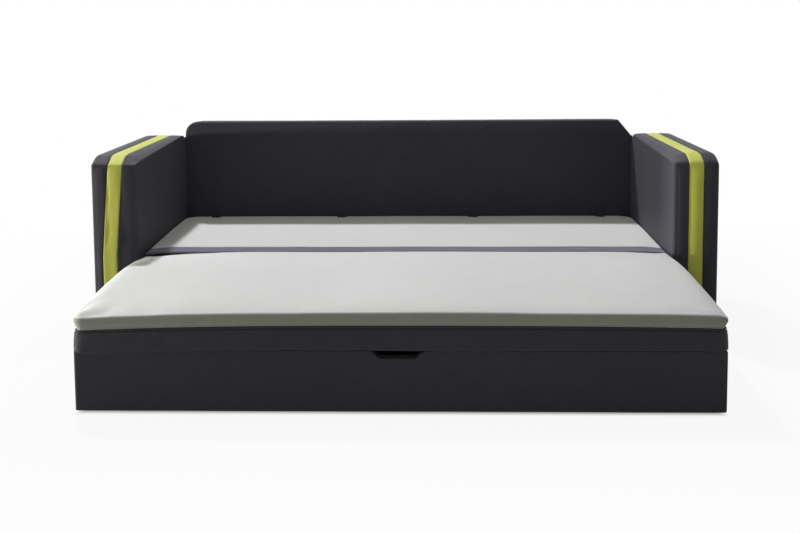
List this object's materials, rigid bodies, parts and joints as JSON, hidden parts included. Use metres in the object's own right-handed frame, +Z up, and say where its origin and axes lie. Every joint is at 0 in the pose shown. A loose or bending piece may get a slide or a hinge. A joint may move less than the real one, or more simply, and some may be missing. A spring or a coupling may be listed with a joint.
{
  "type": "pull-out sofa bed",
  "caption": "Low upholstered sofa bed with box arms, opened: its seat unit rolls out on a drawer and the hinged back cushion lies down behind it.",
  "frame": {"origin": "on the floor, under the middle of the object's bounding box with the bed open", "axes": "+X to the viewer's right along the seat, +Y from the bed's front edge to the back, +Z up"},
  "size_m": [2.22, 1.55, 0.714],
  "materials": {
    "charcoal_fabric": "matte woven upholstery cloth",
    "bed_fabric": "matte knitted mattress cloth",
    "lime_fabric": "matte woven upholstery cloth",
    "timber": "planed softwood",
    "board": "plywood",
    "zinc_steel": "zinc plated",
    "black_steel": "black powder coat",
    "black_plastic": "moulded",
    "white_plastic": "moulded",
    "dark_rubber": "matt"
  },
  "bodies": {
    "sofa": {"arm_cover_left": "charcoal_fabric", "arm_cover_right": "charcoal_fabric", "arm_frame_left": "timber", "arm_frame_right": "timber", "arm_panels_left": "board", "arm_panels_right": "board", "arm_stripe_left": "lime_fabric", "arm_stripe_right": "lime_fabric", "arm_glides": "black_plastic", "back_cover": "charcoal_fabric", "back_frame": "timber", "back_panels": "board", "back_feet": "timber", "back_glides": "black_plastic", "rear_apron": "timber", "arm_angle_plates_low": "black_steel", "arm_angle_plates_high": "black_steel", "angle_plate_bolts": "zinc_steel", "guide_strips": "white_plastic", "drawer_stops": "dark_rubber", "hinge_brackets": "black_steel", "hinge_pins": "zinc_steel", "hinge_bracket_screws": "zinc_steel"},
    "drawer": {"drawer_front_board": "timber", "drawer_front_padding": "charcoal_fabric", "drawer_side_board_left": "timber", "drawer_side_board_right": "timber", "drawer_side_padding_left": "charcoal_fabric", "drawer_side_padding_right": "charcoal_fabric", "drawer_bearer_left": "timber", "drawer_bearer_right": "timber", "drawer_rear_board": "timber", "drawer_slats": "timber", "slat_screws": "zinc_steel", "cushion_support_rail": "timber", "drawer_corner_brackets": "zinc_steel", "drawer_guide_blocks": "white_plastic", "caster_forks": "zinc_steel", "caster_axles": "zinc_steel", "caster_screws": "zinc_steel", "deck_pad": "charcoal_fabric", "front_mattress": "bed_fabric"},
    "rear_cushion": {"rear_mattress": "bed_fabric", "cushion_board": "board", "cushion_underside": "charcoal_fabric", "strip_flap": "charcoal_fabric", "hinge_arms": "black_steel", "hinge_arm_screws": "zinc_steel"},
    "wheel_front_left": {"wheel_hub_front_left": "black_plastic", "wheel_tyre_front_left": "dark_rubber"},
    "wheel_front_right": {"wheel_hub_front_right": "black_plastic", "wheel_tyre_front_right": "dark_rubber"},
    "wheel_rear_left": {"wheel_hub_rear_left": "black_plastic", "wheel_tyre_rear_left": "dark_rubber"},
    "wheel_rear_right": {"wheel_hub_rear_right": "black_plastic", "wheel_tyre_rear_right": "dark_rubber"}
  },
  "joints": [
    {"name": "drawer_slide", "type": "slide", "parent": "sofa", "child": "drawer", "axis": [0, 1, 0], "range_m": [0, 0.598]},
    {"name": "cushion_hinge", "type": "hinge", "parent": "sofa", "child": "rear_cushion", "pos_m": [0, 0.61, 0.296], "axis": [-1, 0, 0], "range_deg": [0, 90.1]},
    {"name": "wheel_front_left_spin", "type": "hinge", "parent": "drawer", "child": "wheel_front_left", "pos_m": [-0.6, -0.66, 0.035], "axis": [-1, 0, 0], "continuous": true},
    {"name": "wheel_front_right_spin", "type": "hinge", "parent": "drawer", "child": "wheel_front_right", "pos_m": [0.6, -0.66, 0.035], "axis": [-1, 0, 0], "continuous": true},
    {"name": "wheel_rear_left_spin", "type": "hinge", "parent": "drawer", "child": "wheel_rear_left", "pos_m": [-0.6, 0.015, 0.035], "axis": [-1, 0, 0], "continuous": true},
    {"name": "wheel_rear_right_spin", "type": "hinge", "parent": "drawer", "child": "wheel_rear_right", "pos_m": [0.6, 0.015, 0.035], "axis": [-1, 0, 0], "continuous": true}
  ],
  "couplings": [
    {"joint": "cushion_hinge", "follows": "drawer_slide", "rad_per_m": 2.6267},
    {"joint": "wheel_front_left_spin", "follows": "drawer_slide", "rad_per_m": 28.571},
    {"joint": "wheel_front_right_spin", "follows": "drawer_slide", "rad_per_m": 28.571},
    {"joint": "wheel_rear_left_spin", "follows": "drawer_slide", "rad_per_m": 28.571},
    {"joint": "wheel_rear_right_spin", "follows": "drawer_slide", "rad_per_m": 28.571}
  ]
}
